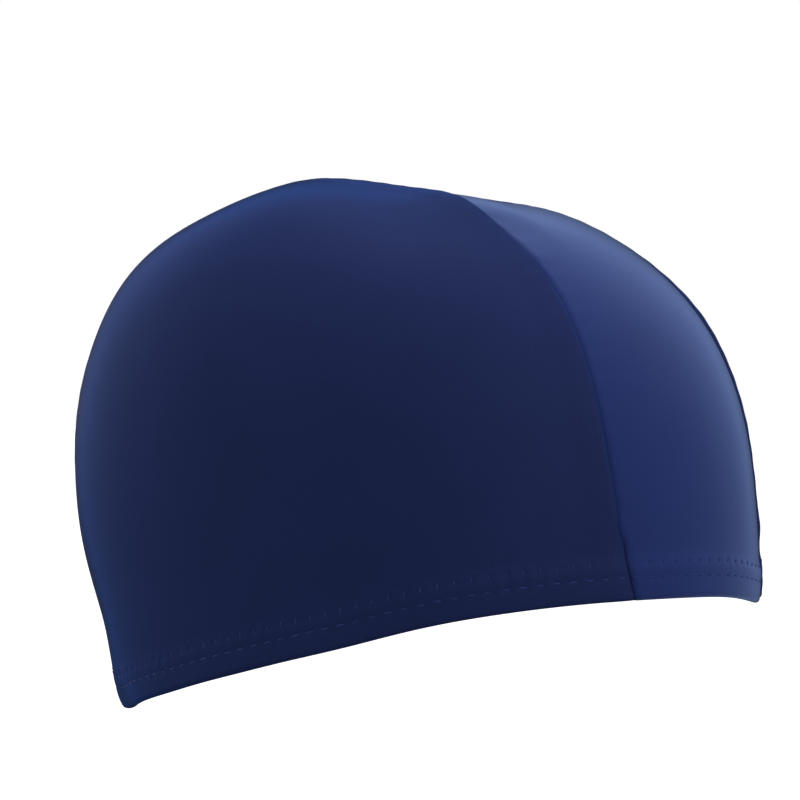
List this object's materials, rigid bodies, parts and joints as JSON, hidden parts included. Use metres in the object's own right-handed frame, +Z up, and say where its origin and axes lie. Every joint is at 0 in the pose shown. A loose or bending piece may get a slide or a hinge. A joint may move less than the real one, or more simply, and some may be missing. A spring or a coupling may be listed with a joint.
{
  "type": "swim cap",
  "caption": "Stretch-knit swim cap, held in its worn shape, with a lighter panel from forehead to nape between darker side panels and a folded, coverstitched hem.",
  "frame": {"origin": "centre of the head opening, midway between the hem's highest and lowest levels, where the head holds the cap", "axes": "+Z up as worn, -Y towards the forehead, +Y towards the nape, -X towards the wearer's right"},
  "size_m": [0.156, 0.1906, 0.1336],
  "materials": {
    "navy_knit": "satin knit",
    "blue_knit": "satin knit",
    "overlocked_edge": "matt thread"
  },
  "bodies": {
    "root": {"side_panel_right": "navy_knit", "side_panel_left": "navy_knit", "centre_panel": "blue_knit", "seam_right": "overlocked_edge", "seam_left": "overlocked_edge"}
  },
  "joints": []
}
